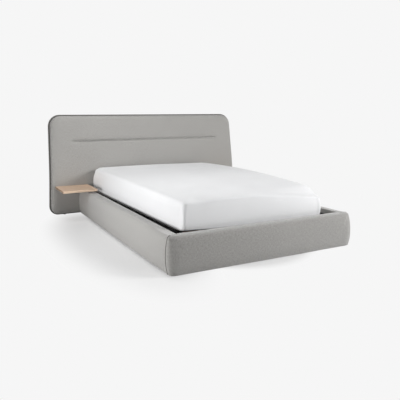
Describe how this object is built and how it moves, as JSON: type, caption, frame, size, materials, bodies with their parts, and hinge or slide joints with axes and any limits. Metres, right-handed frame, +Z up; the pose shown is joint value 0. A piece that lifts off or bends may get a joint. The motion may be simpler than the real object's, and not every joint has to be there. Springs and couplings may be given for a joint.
{
  "type": "bed with attached nightstands",
  "caption": "Upholstered storage bed with a wide raked headboard, oak bedside shelves fixed to it, a padded box base and a lifting slatted platform with mattress.",
  "frame": {"origin": "centre of the whole object's footprint, on the floor", "axes": "+X across the bed to the right as seen from the foot, +Y from the foot towards the headboard, +Z up"},
  "size_m": [2.43, 2.335, 1.111],
  "materials": {
    "upholstery": "warm grey melange weave",
    "piping": "grey weave, tightly rolled",
    "mattress_cover": "smooth white cotton",
    "strap": "black webbing",
    "oak": "pale matt lacquered oak",
    "timber": "planed softwood",
    "slat_wood": "bent beech with clear lacquer",
    "lining": "dark faced board",
    "black_steel": "black powder coat",
    "zinc": "zinc plated",
    "cylinder_paint": "black gloss paint",
    "rod_chrome": "polished",
    "black_plastic": "moulded",
    "rubber": "matt"
  },
  "bodies": {
    "frame": {"headboard_core": "timber", "headboard_pad": "upholstery", "headboard_back": "upholstery", "headboard_piping": "piping", "shelf_left": "oak", "shelf_right": "oak", "shelf_bracket_left": "black_steel", "shelf_bracket_right": "black_steel", "side_rail_left": "lining", "side_rail_right": "lining", "side_cover_left": "upholstery", "side_cover_right": "upholstery", "foot_panel": "lining", "foot_cover": "upholstery", "corner_brackets": "black_steel", "corner_bolts": "zinc", "floor_bearers": "timber", "storage_floor_left": "lining", "storage_floor_right": "lining", "glides": "black_plastic", "platform_stops": "timber", "stop_buffers": "rubber", "lift_base_left": "black_steel", "lift_base_right": "black_steel"},
    "lift_arms": {"lift_arm_left": "black_steel", "lift_arm_right": "black_steel"},
    "platform": {"platform_side_tube_left": "black_steel", "platform_side_tube_right": "black_steel", "platform_head_tube": "black_steel", "platform_foot_tube": "black_steel", "platform_centre_tube": "black_steel", "tube_caps": "black_plastic", "slats_left": "slat_wood", "slats_right": "slat_wood", "slat_holders": "black_plastic", "platform_bracket_left": "black_steel", "platform_bracket_right": "black_steel", "mattress_stop": "black_steel", "pull_strap": "strap", "mattress": "mattress_cover"},
    "guide_arms": {"guide_arm_left": "black_steel", "guide_arm_right": "black_steel"},
    "strut_tubes": {"strut_tube_left": "cylinder_paint", "strut_tube_right": "cylinder_paint"},
    "strut_rods": {"strut_rod_left": "rod_chrome", "strut_rod_right": "rod_chrome"}
  },
  "joints": [
    {"name": "arm_lift", "type": "hinge", "parent": "frame", "child": "lift_arms", "pos_m": [0, 0.38559, 0.1054], "axis": [1, 0, 0], "range_deg": [0, 60]},
    {"name": "platform_tilt", "type": "hinge", "parent": "lift_arms", "child": "platform", "pos_m": [0, 0.6675, 0.208], "axis": [1, 0, 0], "range_deg": [-96, 0]},
    {"name": "guide_swing", "type": "hinge", "parent": "frame", "child": "guide_arms", "pos_m": [0, 0.27199, 0.0625], "axis": [1, 0, 0], "range_deg": [0, 52.8]},
    {"name": "strut_swing", "type": "hinge", "parent": "frame", "child": "strut_tubes", "pos_m": [0, 0.66749, 0.045], "axis": [1, 0, 0], "range_deg": [0, 6.7]},
    {"name": "strut_extend", "type": "slide", "parent": "strut_tubes", "child": "strut_rods", "axis": [0, -0.9111, 0.4121], "range_m": [0, 0.04745]}
  ],
  "couplings": [
    {"joint": "platform_tilt", "follows": "arm_lift", "ratio": -1.6},
    {"joint": "guide_swing", "follows": "arm_lift", "ratio": 0.88},
    {"joint": "strut_swing", "follows": "arm_lift", "ratio": 0.1116},
    {"joint": "strut_extend", "follows": "arm_lift", "m_per_rad": 0.0453}
  ]
}
